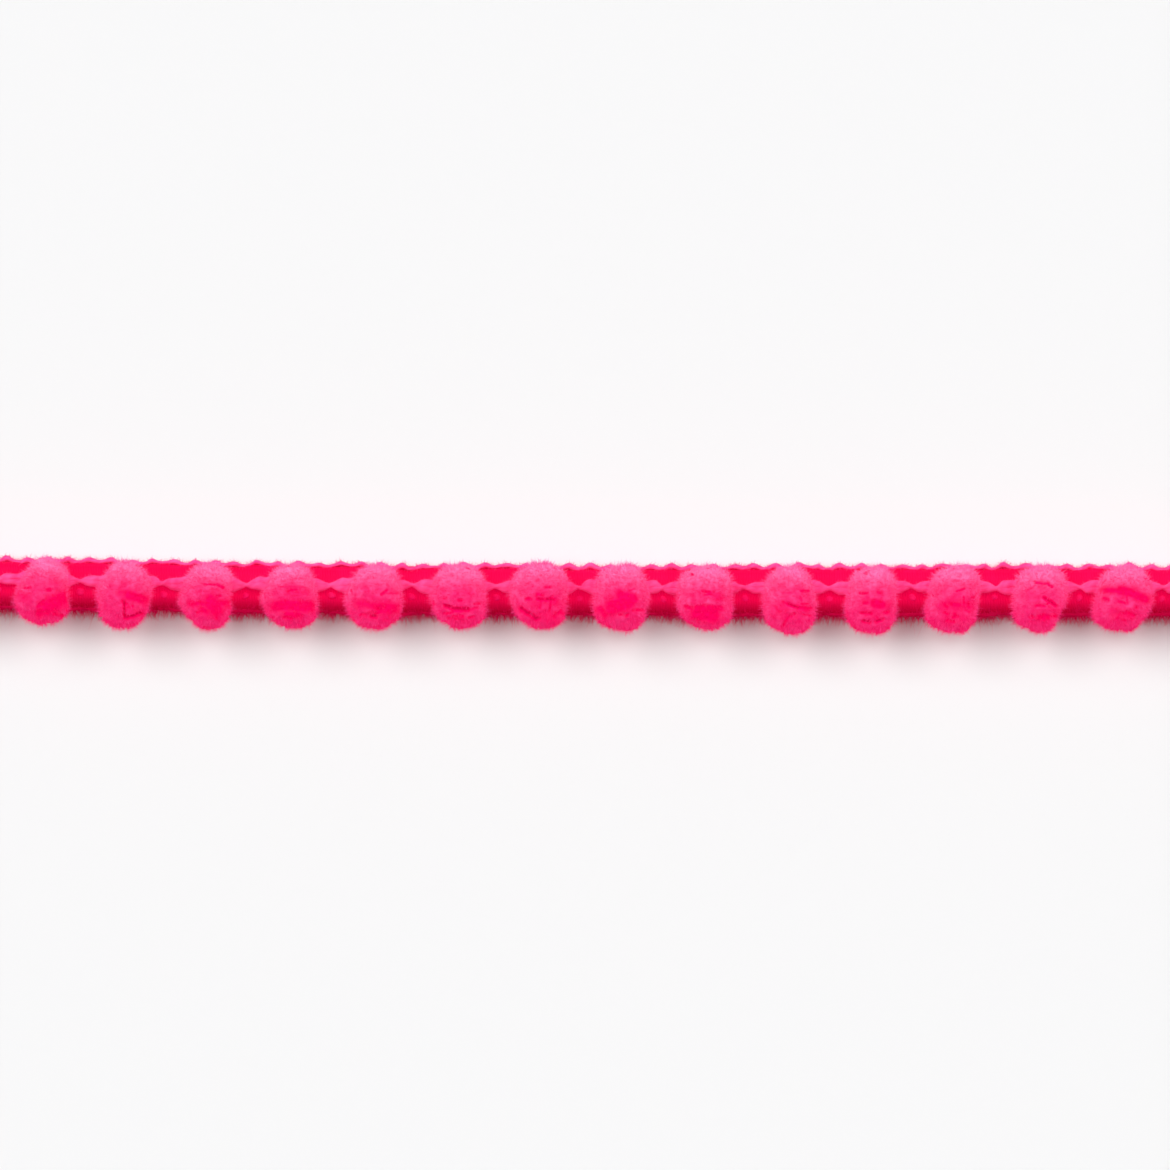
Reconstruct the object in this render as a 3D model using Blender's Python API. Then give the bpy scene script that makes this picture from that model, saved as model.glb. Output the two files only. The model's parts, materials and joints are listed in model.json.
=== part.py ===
"""Mini pompom fringe trim: a cut length of knitted band with a cut-pile pompom tied on every 10 mm.

The length lies face up on the flat back of its band. X runs along the band, +Y points to the heading
edge with its small loops, -Y to the side that the pompoms hang over, and +Z out of the face. The origin
is the middle of the band's back. All sizes are in metres.
"""

import math
import random
from collections import namedtuple

import bmesh
import bpy
from mathutils import Matrix, Vector

MM = 0.001

# The cut length: one pompom every pitch, and the knitting repeats four times between two of them.
POMPOM_COUNT = 16
POMPOM_PITCH = 10.0 * MM
STITCHES_PER_POMPOM = 4
BAND_LENGTH = POMPOM_COUNT * POMPOM_PITCH
STITCH_COUNT = POMPOM_COUNT * STITCHES_PER_POMPOM
STITCH_PITCH = BAND_LENGTH / STITCH_COUNT
STEPS_PER_STITCH = 3

# The length lies straight to the right of this point, and to its left it bends gently to the heading side.
BEND_START = 9.0 * MM
BEND_RADIUS = 3200.0 * MM

# The band's section, in millimetres, from the heading edge over the face to the lower edge.
# across: the row's place from the band's middle line, towards the heading edge
# valley, crest: the row's height over the back between two stitches and on a stitch
# swing: how far a stitch bulges the row across the band
# phase: where the row's stitches sit, as a share of the stitch pitch
Row = namedtuple("Row", "across valley crest swing phase")
BAND_SECTION = (
    Row(2.62, 0.00, 0.00, 0.30, 0.50),  # back of the loops
    Row(2.68, 0.55, 0.70, 0.34, 0.50),  # outer side of the loops
    Row(2.45, 0.95, 1.45, 0.26, 0.50),  # top of the loops
    Row(2.10, 1.00, 1.35, 0.00, 0.50),  # inner side of the loops
    Row(1.60, 0.95, 0.95, 0.00, 0.00),  # upper groove
    Row(0.95, 1.00, 1.30, 0.20, 0.00),  # chain, upper leg
    Row(0.45, 1.25, 1.85, 0.00, 0.00),  # chain, crest
    Row(-0.10, 1.00, 1.35, -0.20, 0.00),  # chain, lower leg
    Row(-0.75, 0.95, 0.95, 0.00, 0.50),  # lower groove
    Row(-1.40, 1.05, 1.55, 0.00, 0.50),  # lower row
    Row(-2.05, 1.00, 1.30, 0.00, 0.50),  # shoulder of the lower edge
    Row(-2.70, 0.75, 0.85, -0.05, 0.50),  # round of the lower edge
    Row(-2.95, 0.35, 0.35, 0.00, 0.50),  # outermost line of the lower edge
    Row(-2.85, 0.00, 0.00, 0.00, 0.50),  # back of the lower edge
)

# A pompom's outline seen from above is fixed at three levels across the band, in millimetres.
CAP_LEVEL = 2.0
FOOT_LEVEL = -4.0
POMPOM_TOP = 3.45
# Half widths to the left and right of the pompom's place, at its waist, its cap and its foot; how far it
# reaches past the band's middle line; the line where it is tied; and its height over the back.
Pile = namedtuple(
    "Pile", "waist_left waist_right cap_left cap_right foot_left foot_right bottom tie height"
)
POMPOMS = (
    Pile(3.9, 3.2, 3.0, 2.7, 3.2, 2.6, -5.2, 0.2, 7.2),
    Pile(3.5, 3.3, 2.7, 2.8, 2.5, 3.0, -5.2, 0.3, 7.2),
    Pile(3.6, 3.0, 2.8, 2.7, 2.8, 2.2, -5.4, 0.1, 7.4),
    Pile(4.0, 3.1, 2.8, 2.8, 2.7, 2.5, -5.5, 0.4, 7.1),
    Pile(4.1, 3.1, 3.0, 2.5, 2.6, 2.6, -5.1, 0.0, 7.3),
    Pile(4.1, 3.5, 2.7, 2.8, 3.1, 2.9, -5.2, 0.2, 7.5),
    Pile(3.9, 3.4, 3.0, 2.9, 2.5, 2.6, -5.0, 0.1, 7.2),
    Pile(3.8, 3.1, 3.3, 2.8, 3.2, 2.7, -5.0, 0.3, 7.3),
    Pile(4.2, 3.0, 3.5, 2.5, 3.7, 2.4, -5.1, 0.0, 7.4),
    Pile(4.5, 2.8, 3.5, 2.6, 3.6, 2.7, -5.0, -0.1, 7.1),
    Pile(4.3, 3.1, 3.1, 2.3, 3.5, 2.6, -5.4, 0.3, 7.3),
    Pile(4.0, 3.0, 3.1, 2.4, 3.5, 2.3, -5.4, 0.2, 7.2),
    Pile(4.1, 2.8, 3.3, 2.5, 3.5, 2.1, -5.3, 0.0, 7.4),
    Pile(4.4, 3.1, 3.2, 2.7, 3.5, 2.2, -5.3, 0.4, 7.3),
    Pile(4.0, 3.6, 3.1, 2.8, 3.5, 2.3, -5.2, 0.3, 7.5),
    Pile(3.6, 3.4, 2.9, 2.8, 2.8, 2.7, -5.2, 0.2, 7.2),
)

# Each pompom is 18 broad four-sided locks of pile: three at either end and six in each of two rings.
RING_LOCKS = 6
BANDS_OF_LOCKS = 4
LOCK_GAP_SHARE = 0.085
CORE_SHARE = 0.55
TIP_DOME = 0.03
LOCK_REACH = 1.02
LENGTH_SPREAD = 0.03
CORNER_SPREAD = 0.10
ROLL_SPREAD = math.radians(14)
PILE_SEED = 404

# The pile is pressed flat where it lies on the band, and springs down again past the lower edge.
PILE_UNDERSIDE = 0.75 * MM
PRESSED_HEIGHT = 2.25 * MM
PRESSED_FROM = -2.75 * MM
SPRING_SLOPE = 0.5

BAND_COLOUR = (0.83, 0.008, 0.075, 1.0)
PILE_COLOUR = (0.93, 0.022, 0.14, 1.0)


def clear_scene():
    for old in list(bpy.data.objects):
        bpy.data.objects.remove(old, do_unlink=True)


def make_material(name, colour, roughness):
    material = bpy.data.materials.new(name)
    material.use_nodes = True
    shader = material.node_tree.nodes["Principled BSDF"]
    shader.inputs["Base Color"].default_value = colour
    shader.inputs["Roughness"].default_value = roughness
    shader.inputs["Metallic"].default_value = 0.0
    return material


def add_object(name, bm, material):
    """Closes the mesh work on bm and puts it in the scene as one object."""
    bmesh.ops.recalc_face_normals(bm, faces=bm.faces)
    mesh = bpy.data.meshes.new(name)
    bm.to_mesh(mesh)
    bm.free()
    mesh.materials.append(material)
    mesh.shade_smooth()
    mesh.set_sharp_from_angle(angle=math.radians(50))
    part = bpy.data.objects.new(name, mesh)
    bpy.context.collection.objects.link(part)
    return part


def bend(x):
    """How far the band's middle line has bent to the heading side at x."""
    run = max(0.0, BEND_START - x)
    return run * run / (2 * BEND_RADIUS)


# ---- the knitted band


def band_point(station, row):
    """The point of one section row at one station along the band."""
    x = -BAND_LENGTH / 2 + station * STITCH_PITCH / STEPS_PER_STITCH
    turn = 2 * math.pi * (station / STEPS_PER_STITCH - row.phase)
    stitch = 0.5 + 0.5 * math.cos(turn)
    y = (row.across + row.swing * stitch) * MM + bend(x)
    z = (row.valley + (row.crest - row.valley) * stitch) * MM
    return Vector((x, y, z))


def make_band(material):
    """Draws the section's loop at one cut end and extrudes it station by station to the other."""
    bm = bmesh.new()
    row_of = bm.verts.layers.int.new("row")
    loop = []
    for number, row in enumerate(BAND_SECTION):
        vert = bm.verts.new(band_point(0, row))
        vert[row_of] = number
        loop.append(vert)
    first_end = bm.faces.new(loop)
    edges = list(first_end.edges)
    for station in range(1, STITCH_COUNT * STEPS_PER_STITCH + 1):
        grown = bmesh.ops.extrude_edge_only(bm, edges=edges)["geom"]
        edges = [part for part in grown if isinstance(part, bmesh.types.BMEdge)]
        for vert in (part for part in grown if isinstance(part, bmesh.types.BMVert)):
            vert.co = band_point(station, BAND_SECTION[vert[row_of]])
    bmesh.ops.contextual_create(bm, geom=edges)
    bm.verts.layers.int.remove(row_of)
    return add_object("braid", bm, material)


# ---- the pompoms


def outline_fullness(level, middle, half_height, at_waist, at_level):
    """How much fuller than an ellipse the outline is, from its half widths at the waist and one level."""
    share = (level - middle) / half_height
    ellipse = at_waist * math.sqrt(1 - share * share)
    return (at_level / ellipse - 1) / (share * share)


def pile_point(unit, pile, x_place):
    """Carries a point of the unit ball to the pompom's own shape, in metres."""
    middle = (POMPOM_TOP + pile.bottom) / 2
    half_height = (POMPOM_TOP - pile.bottom) / 2
    if unit.x < 0:
        waist, cap, foot = pile.waist_left, pile.cap_left, pile.foot_left
    else:
        waist, cap, foot = pile.waist_right, pile.cap_right, pile.foot_right
    level, known = (CAP_LEVEL, cap) if unit.y > 0 else (FOOT_LEVEL, foot)
    fullness = outline_fullness(level, middle, half_height, waist, known)
    x = x_place + unit.x * waist * (1 + fullness * unit.y**2) * MM
    y = (middle + unit.y * half_height) * MM + bend(x_place)
    top = pile.height * MM
    z = (top + PILE_UNDERSIDE) / 2 + unit.z * (top - PILE_UNDERSIDE) / 2
    return Vector((x, y, z))


def pressed(point, x_place):
    """Lifts a point that would lie in the band onto its face."""
    past_edge = max(0.0, PRESSED_FROM - (point.y - bend(x_place)))
    lowest = PRESSED_HEIGHT - SPRING_SLOPE * past_edge
    return Vector((point.x, point.y, max(point.z, lowest)))


def lock_tips(bm, rng):
    """A ball of 18 four-sided faces, its ends towards +Y and -Y, one face for each lock's tip."""
    bmesh.ops.create_uvsphere(bm, u_segments=RING_LOCKS, v_segments=BANDS_OF_LOCKS, radius=1.0)
    ends = [vert for vert in bm.verts if abs(vert.co.z) > 0.99]
    joined = []
    for end in ends:
        spokes = sorted(end.link_edges, key=lambda edge: math.atan2(*edge.other_vert(end).co.xy))
        joined += spokes[::2]
    bmesh.ops.dissolve_edges(bm, edges=joined, use_verts=False)
    roll = Matrix.Rotation(rng.uniform(-ROLL_SPREAD, ROLL_SPREAD), 3, "Z")
    lay_down = Matrix.Rotation(math.radians(-90), 3, "X")
    for vert in bm.verts:
        nudge = Vector((rng.gauss(0, 1), rng.gauss(0, 1), rng.gauss(0, 1))) * CORNER_SPREAD
        vert.co = (lay_down @ roll @ vert.co + nudge).normalized()


def tied_point(pile):
    """Where the pompom is tied, in the unit ball."""
    middle = (POMPOM_TOP + pile.bottom) / 2
    half_height = (POMPOM_TOP - pile.bottom) / 2
    return Vector((0.0, (pile.tie - middle) / half_height, 0.0))


def ball_surface(start, direction):
    """Where a ray from a point inside the unit ball leaves it."""
    inward = start.dot(direction)
    return start + direction * (math.sqrt(inward * inward + 1 - start.length_squared) - inward)


def sink_grooves(bm, tips, reach):
    """Narrows every tip and draws what is left between the tips down to the core, as closed grooves."""
    bmesh.ops.inset_individual(bm, faces=tips, thickness=LOCK_GAP_SHARE / 2, use_even_offset=True)
    grooves = [face for face in bm.faces if face not in tips]
    grown = bmesh.ops.extrude_face_region(bm, geom=grooves)["geom"]
    bmesh.ops.delete(bm, geom=grooves, context="FACES")
    for vert in (part for part in grown if isinstance(part, bmesh.types.BMVert)):
        vert[reach] = CORE_SHARE


def fan_wall(middle):
    """Splits a groove's wall from the middle of its upper edge, so that both walls of a groove bend alike."""
    wall = next(face for face in middle.link_faces if len(face.verts) > 4)
    ends = {edge.other_vert(middle) for edge in middle.link_edges}
    roots = [vert for vert in wall.verts if vert != middle and vert not in ends]
    for root in roots:
        face = next(face for face in root.link_faces if middle in face.verts)
        bmesh.utils.face_split(face, middle, root)


def dome_tips(bm, tips, reach, rng):
    """Gives each lock its own length, splits its tip in four and raises the tip's middle."""
    for tip in tips:
        length = LOCK_REACH + rng.uniform(-LENGTH_SPREAD, LENGTH_SPREAD)
        for vert in tip.verts:
            vert[reach] = length - TIP_DOME
    edges = [edge for tip in tips for edge in tip.edges]
    cut = bmesh.ops.subdivide_edges(bm, edges=edges, cuts=1, use_grid_fill=True)
    for vert in [part for part in cut["geom_inner"] if isinstance(part, bmesh.types.BMVert)]:
        if len(vert.link_faces) == len(tips[0].verts):
            vert[reach] += TIP_DOME
        else:
            vert[reach] += TIP_DOME / 2
            fan_wall(vert)


def make_pompom(number, pile, material):
    """One pompom: a ball of locks round the point where it is tied, drawn out to the pompom's own shape."""
    rng = random.Random(PILE_SEED + number)
    x_place = (number - (POMPOM_COUNT - 1) / 2) * POMPOM_PITCH
    tie = tied_point(pile)
    core = pile_point(tie, pile, x_place)
    bm = bmesh.new()
    reach = bm.verts.layers.float.new("reach")
    lock_tips(bm, rng)
    for vert in bm.verts:
        vert.co = ball_surface(tie, vert.co)
    bmesh.ops.recalc_face_normals(bm, faces=bm.faces)
    tips = sorted(bm.faces, key=lambda face: tuple(face.calc_center_median()))
    sink_grooves(bm, tips, reach)
    dome_tips(bm, tips, reach, rng)
    for vert in bm.verts:
        full = ball_surface(tie, (vert.co - tie).normalized())
        vert.co = core.lerp(pressed(pile_point(full, pile, x_place), x_place), vert[reach])
    bm.verts.layers.float.remove(reach)
    return add_object(f"pompom_{number + 1:02d}", bm, material)


def build():
    clear_scene()
    band_material = make_material("band_yarn", BAND_COLOUR, 0.75)
    pile_material = make_material("pompom_pile", PILE_COLOUR, 0.9)
    make_band(band_material)
    for number, pile in enumerate(POMPOMS):
        make_pompom(number, pile, pile_material)


build()
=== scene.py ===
# %% [markdown]
# # A cut length of mini pompom trim
# Trim like this is knitted as a narrow band, and small pompoms of cut pile are tied onto the band every
# centimetre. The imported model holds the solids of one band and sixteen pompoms. This script keeps them as
# the frame, and builds the yarn and the pile round them in the same place and at the same size.

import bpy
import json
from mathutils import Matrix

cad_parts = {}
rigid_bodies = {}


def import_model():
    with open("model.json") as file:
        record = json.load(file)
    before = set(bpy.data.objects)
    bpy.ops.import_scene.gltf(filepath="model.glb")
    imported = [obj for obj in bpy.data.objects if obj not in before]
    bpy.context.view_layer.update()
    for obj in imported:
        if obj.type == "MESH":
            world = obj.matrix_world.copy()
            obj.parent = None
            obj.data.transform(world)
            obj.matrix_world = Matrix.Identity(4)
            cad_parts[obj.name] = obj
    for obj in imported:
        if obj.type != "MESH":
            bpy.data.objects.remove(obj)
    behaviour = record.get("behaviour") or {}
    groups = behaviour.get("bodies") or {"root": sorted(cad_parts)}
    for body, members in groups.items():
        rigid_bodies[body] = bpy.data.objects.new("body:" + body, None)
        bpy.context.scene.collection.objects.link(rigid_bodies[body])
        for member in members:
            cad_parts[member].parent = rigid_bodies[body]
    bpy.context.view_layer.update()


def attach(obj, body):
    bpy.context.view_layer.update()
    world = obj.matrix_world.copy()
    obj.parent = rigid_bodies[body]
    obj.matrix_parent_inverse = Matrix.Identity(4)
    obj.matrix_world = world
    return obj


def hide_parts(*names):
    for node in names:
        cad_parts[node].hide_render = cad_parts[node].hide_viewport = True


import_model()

# %% [markdown]
# ## Modules
# Blender's own modules make objects, meshes and noise. numpy works on thousands of points at once.

# %% Modules
import json
import math
import random
from collections import namedtuple

import bmesh
import bpy
import numpy as np
from mathutils import Vector, noise

# %% [markdown]
# ## Sizes
# Every size below is in millimetres and is turned into metres by MM. The pompoms sit 10 mm apart, and the
# knitting repeats four times between two of them. The length lies straight on the right and bends a little
# to the heading side on the left, so one function gives how far the middle line has bent at any place. The
# pompoms hang a little to the left of their ties, and the middle of each gap shifts with them.

# %% Sizes of the length
MM = 0.001
POMPOM_COUNT = 16
POMPOM_PITCH = 10.0 * MM
STITCH_PITCH = 2.5 * MM
BAND_LENGTH = POMPOM_COUNT * POMPOM_PITCH
CROSSING_SHIFT = 0.7 * MM
BEND_START = 9.0 * MM
BEND_RADIUS = 3200.0 * MM


def bend(x):
    """How far the middle line has bent to the heading side at x."""
    run = max(0.0, BEND_START - x)
    return run * run / (2 * BEND_RADIUS)


def place_of(number):
    """Where along the band one pompom is tied, counted from 0 at the left cut end."""
    return (number - (POMPOM_COUNT - 1) / 2) * POMPOM_PITCH


print("bend at the left cut end in mm:", round(bend(-BAND_LENGTH / 2) / MM, 2))

# %% [markdown]
# ## The camera
# The photograph looks straight down on the trim. An orthographic camera would show no perspective at all. A
# long lens a metre above is nearer to a real one, and keeps the little perspective that there is. One pixel
# of the photograph is 0.12 mm on the trim, which fixes the width of the view.

# %% Camera
PHOTO_PIXELS = 1170
PIXEL = 0.12 * MM
MIDDLE_LINE_ROW = 590
CAMERA_HEIGHT = 1.0
FACE_HEIGHT = 3.0 * MM
SENSOR_WIDTH = 36.0


def new_object(name, data):
    """A camera, lamp or mesh as an object in the scene."""
    made = bpy.data.objects.new(name, data)
    bpy.context.scene.collection.objects.link(made)
    return made


camera_data = bpy.data.cameras.new("camera_above")
camera_data.sensor_width = SENSOR_WIDTH
camera_data.lens = SENSOR_WIDTH * (CAMERA_HEIGHT - FACE_HEIGHT) / (PHOTO_PIXELS * PIXEL)
camera = new_object("camera_above", camera_data)
camera.location = (0.0, (MIDDLE_LINE_ROW - PHOTO_PIXELS / 2) * PIXEL, CAMERA_HEIGHT)
bpy.context.scene.camera = camera
print("lens in mm:", round(camera_data.lens, 1))

# %% [markdown]
# ## One class for all node maths
# Materials and Geometry Nodes are both trees of nodes. A Socket below stands for one output, and the usual
# signs of Python add the Math nodes, so a formula reads as a formula. Every other node comes from
# Tree.add, which takes the node's type, its settings, and what goes into its inputs.


# %% Node helpers
class Socket:
    """One output of a node. Sums on it add Math nodes to its tree."""

    def __init__(self, tree, output):
        self.tree, self.output = tree, output

    def other(self, name):
        """Another output of the same node."""
        return Socket(self.tree, usable(self.output.node.outputs, name))

    def math(self, operation, *values):
        numbered = dict(enumerate((self, *values)))
        return self.tree.add("ShaderNodeMath", {"operation": operation}, numbered)

    def __add__(self, value):
        return self.math("ADD", value)

    def __sub__(self, value):
        return self.math("SUBTRACT", value)

    def __mul__(self, value):
        return self.math("MULTIPLY", value)

    def __truediv__(self, value):
        return self.math("DIVIDE", value)

    def __rsub__(self, value):
        return self.tree.add("ShaderNodeMath", {"operation": "SUBTRACT"}, {0: value, 1: self})

    __radd__ = __add__
    __rmul__ = __mul__


def usable(sockets, name):
    """The socket of that name or number that the node's settings leave in use."""
    if isinstance(name, int):
        return sockets[name]
    return next(s for s in sockets if s.name == name and not s.is_unavailable)


class Tree:
    """A node tree with one method that adds a node."""

    def __init__(self, tree):
        self.tree = tree

    def add(self, kind, settings=None, values=None, output=None):
        """A new node: its settings first, then a value or a link for each input. Gives one output."""
        node = self.tree.nodes.new(kind)
        for name, value in (settings or {}).items():
            setattr(node, name, value)
        for name, value in (values or {}).items():
            socket = usable(node.inputs, name)
            if isinstance(value, Socket):
                self.tree.links.new(value.output, socket)
            else:
                socket.default_value = value
        if not node.outputs:
            return None
        chosen = next(s for s in node.outputs if not s.is_unavailable)
        return Socket(self, chosen if output is None else usable(node.outputs, output))


print("node helpers are ready")

# %% [markdown]
# ## Light and floor
# The photograph is high key: a white table, a broad window on the heading side, a white ceiling, and a
# little light coming back from the room all round. Area lamps close by would light one end more than the
# other. Sun lamps with very wide discs give the same soft shadow along the whole length, and the world
# gives the rest. The light is a little stronger than the table needs, so the trim's red is burnt out in
# the same way as on the photograph.

# %% Floor, light and world
FLOOR_SIZE = 20.0
FLOOR_LEVEL = -0.02 * MM
FLOOR_WHITE = (0.735, 0.733, 0.737, 1.0)
FLOOR_ROUGHNESS = 0.9
FLOOR_SHINE = 0.1
Lamp = namedtuple("Lamp", "name turn elevation disc strength")
LAMPS = (
    Lamp("left_lamp", 60, 48, 50, 2.5),
    Lamp("right_lamp", -60, 48, 50, 2.1),
    Lamp("ceiling", 0, 70, 80, 0.35),
)
FILL_STRENGTH = 0.10
BACKDROP_WHITE = 0.97

floor_material = bpy.data.materials.new("white table")
floor_material.use_nodes = True
floor_shader = floor_material.node_tree.nodes["Principled BSDF"]
floor_shader.inputs["Base Color"].default_value = FLOOR_WHITE
floor_shader.inputs["Roughness"].default_value = FLOOR_ROUGHNESS
floor_shader.inputs["Specular IOR Level"].default_value = FLOOR_SHINE

floor_mesh = bpy.data.meshes.new("floor")
half = FLOOR_SIZE / 2
corners = [(x * half, y * half, FLOOR_LEVEL) for x, y in ((-1, -1), (1, -1), (1, 1), (-1, 1))]
floor_mesh.from_pydata(corners, [], [(0, 1, 2, 3)])
floor_mesh.materials.append(floor_material)
floor = new_object("floor", floor_mesh)

for lamp in LAMPS:
    lamp_data = bpy.data.lights.new(lamp.name, "SUN")
    lamp_data.energy = lamp.strength
    lamp_data.angle = math.radians(lamp.disc)
    light = new_object(lamp.name, lamp_data)
    light.rotation_euler = (math.radians(lamp.elevation - 90), 0.0, math.radians(lamp.turn))

world = bpy.data.worlds.new("white room")
world.use_nodes = True
world.node_tree.nodes.clear()
room = Tree(world.node_tree)
seen = room.add("ShaderNodeLightPath", output="Is Camera Ray")
strength = FILL_STRENGTH + seen * (BACKDROP_WHITE - FILL_STRENGTH)
glow = room.add("ShaderNodeBackground", values={"Color": (1, 1, 1, 1), "Strength": strength})
room.add("ShaderNodeOutputWorld", values={"Surface": glow})
bpy.context.scene.world = world
bpy.context.scene.view_settings.view_transform = "Standard"
print("lamps:", [lamp.name for lamp in LAMPS])

# %% [markdown]
# ## Geometry Nodes from Python
# A tree for Geometry Nodes needs named inputs, a geometry to start from and one to end with. Two helpers
# begin and end such a tree. A third puts it on an object, sets its inputs by their identifiers, and keeps
# the evaluated result as a plain mesh, so that no modifier is left on a finished piece. The small ones
# after them take a place apart into its numbers, put it together again, and move or repeat a shape.


# %% Helpers for growing meshes
UNEVEN_SIZE = 2.6 * MM
UNEVEN_DEPTH = 0.32 * MM


def new_growth(name, inputs):
    """A Geometry Nodes tree with inputs named by kind, and a dictionary of their sockets."""
    group = bpy.data.node_groups.new(name, "GeometryNodeTree")
    group.interface.new_socket("Geometry", in_out="INPUT", socket_type="NodeSocketGeometry")
    for kind, names in inputs.items():
        for item in names.split(", "):
            group.interface.new_socket(item, in_out="INPUT", socket_type="NodeSocket" + kind)
    group.interface.new_socket("Geometry", in_out="OUTPUT", socket_type="NodeSocketGeometry")
    tree = Tree(group)
    start = tree.add("NodeGroupInput")
    names = ", ".join(("Geometry", *inputs.values())).split(", ")
    return tree, {item: start.other(item) for item in names}


def end_growth(tree, geometry, material):
    """Ends a tree with plain faces of one material."""
    real = tree.add("GeometryNodeRealizeInstances", values={"Geometry": geometry})
    dressed = tree.add("GeometryNodeSetMaterial", values={"Geometry": real, "Material": material})
    tree.add("NodeGroupOutput", values={"Geometry": dressed})
    return tree.tree


def grown(name, group, settings, mesh=None):
    """Runs a tree on a mesh and returns the result as one object with a plain mesh."""
    seed_mesh = mesh or bpy.data.meshes.new(name + "_seed")
    seed = new_object(name + "_seed", seed_mesh)
    modifier = seed.modifiers.new("growth", "NODES")
    modifier.node_group = group
    for item in group.interface.items_tree:
        if item.in_out == "INPUT" and item.name in settings:
            modifier[item.identifier] = settings[item.name]
    depsgraph = bpy.context.evaluated_depsgraph_get()
    result = bpy.data.meshes.new_from_object(seed.evaluated_get(depsgraph))
    result.name = name
    piece = new_object(name, result)
    bpy.data.objects.remove(seed)
    bpy.data.meshes.remove(seed_mesh)
    return piece


def triangles(piece):
    return sum(len(face.vertices) - 2 for face in piece.data.polygons)


def stored(tree, geometry, name, value, kind="FLOAT"):
    """The geometry with one more attribute on its points."""
    settings = {"data_type": kind, "domain": "POINT"}
    values = {"Geometry": geometry, "Name": name, "Value": value}
    return tree.add("GeometryNodeStoreNamedAttribute", settings, values)


def recalled(tree, name, kind="FLOAT"):
    """An attribute that was stored before."""
    return tree.add("GeometryNodeInputNamedAttribute", {"data_type": kind}, {"Name": name})


def place_parts(tree):
    """The three numbers of each point's place."""
    place = tree.add("GeometryNodeInputPosition")
    x = tree.add("ShaderNodeSeparateXYZ", values={"Vector": place})
    return x, x.other("Y"), x.other("Z")


def vector(tree, x=0.0, y=0.0, z=0.0):
    return tree.add("ShaderNodeCombineXYZ", values={"X": x, "Y": y, "Z": z})


def scaled(tree, arrow, factor):
    return tree.add("ShaderNodeVectorMath", {"operation": "SCALE"}, {"Vector": arrow, "Scale": factor})


def moved_to(tree, geometry, place):
    return tree.add("GeometryNodeSetPosition", values={"Geometry": geometry, "Position": place})


def moved_by(tree, geometry, shift):
    return tree.add("GeometryNodeSetPosition", values={"Geometry": geometry, "Offset": shift})


def joined(tree, *geometries):
    join = tree.add("GeometryNodeJoinGeometry")
    for geometry in geometries:
        tree.tree.links.new(geometry.output, join.output.node.inputs[0])
    return join


def repeated(tree, shape, count, start, pitch):
    """Copies of a shape in a row along the length, with real faces."""
    values = {"Count": count, "Start Location": vector(tree, start), "Offset": vector(tree, pitch)}
    places = tree.add("GeometryNodeMeshLine", {"mode": "OFFSET"}, values)
    laid = tree.add("GeometryNodeInstanceOnPoints", values={"Points": places, "Instance": shape})
    return tree.add("GeometryNodeRealizeInstances", values={"Geometry": laid})


def uneven(tree, geometry):
    """Shifts a yarn's points a little, because no two stitches lie quite alike."""
    place = tree.add("GeometryNodeInputPosition")
    values = {"Vector": place, "Scale": 1 / UNEVEN_SIZE, "Detail": 1.0}
    drift = tree.add("ShaderNodeTexNoise", {"normalize": False}, values, output="Color")
    return moved_by(tree, geometry, scaled(tree, drift, UNEVEN_DEPTH))


def bent(tree, geometry):
    """Moves every point to the heading side by the bend of the length."""
    x, _, _ = place_parts(tree)
    run = (BEND_START - x).math("MAXIMUM", 0.0)
    return moved_by(tree, geometry, vector(tree, y=run * run / (2 * BEND_RADIUS)))


print("growing helpers are ready")

# %% [markdown]
# ## The finish of the yarns
# All the yarn is fluorescent pink acrylic. The band's yarns take the light differently, so they get three
# painted copies of the one yarn, with painted light and shade in them: deep for the flat ground that lies
# in shade, bright for the lower stitches that rise a little into the light, pale for the fluffy yarns on
# top that stand up into the light. A fluorescent dye turns light of other colours into its own, so it looks
# brighter than plain paint can. A steady red painted glow stands for that, and also for light that comes
# through the yarn to its shaded side. It suits a well lit scene, and in the dark it would shine too much.
# Each yarn is twisted from two plies, which show as slanted furrows when you look closely; the furrows are
# painted in the deeper colour, as painted shade. A picture of yarn could be laid on the band instead, but
# it would not follow the loops. Here the twist reads two attributes that the yarn's own nodes write, along
# and around. A third, shade, mixes in a darker colour and a weaker glow: painted shade on the yarns that
# lie low, towards the lower edge and along the edge cords.


# %% Yarn finish
def new_finish(name):
    """A material whose node tree is still empty."""
    material = bpy.data.materials.new(name)
    material.use_nodes = True
    material.node_tree.nodes.clear()
    return material, Tree(material.node_tree)


def end_finish(tree, values):
    """Ends a material's tree with its shader."""
    shader = tree.add("ShaderNodeBsdfPrincipled", values=values)
    tree.add("ShaderNodeOutputMaterial", values={"Surface": shader})


def patches(tree, scale, detail):
    """A cloudy pattern from 0 to 1 that is fixed to the piece."""
    place = tree.add("ShaderNodeTexCoord", output="Object")
    return tree.add("ShaderNodeTexNoise", values={"Vector": place, "Scale": scale, "Detail": detail})


def mixed(tree, factor, first, second):
    """A colour between two colours."""
    settings = {"data_type": "RGBA"}
    return tree.add("ShaderNodeMix", settings, {0: factor, 6: first, 7: second}, output=2)


def attribute(tree, name, output="Fac"):
    return tree.add("ShaderNodeAttribute", {"attribute_name": name}, output=output)


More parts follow.
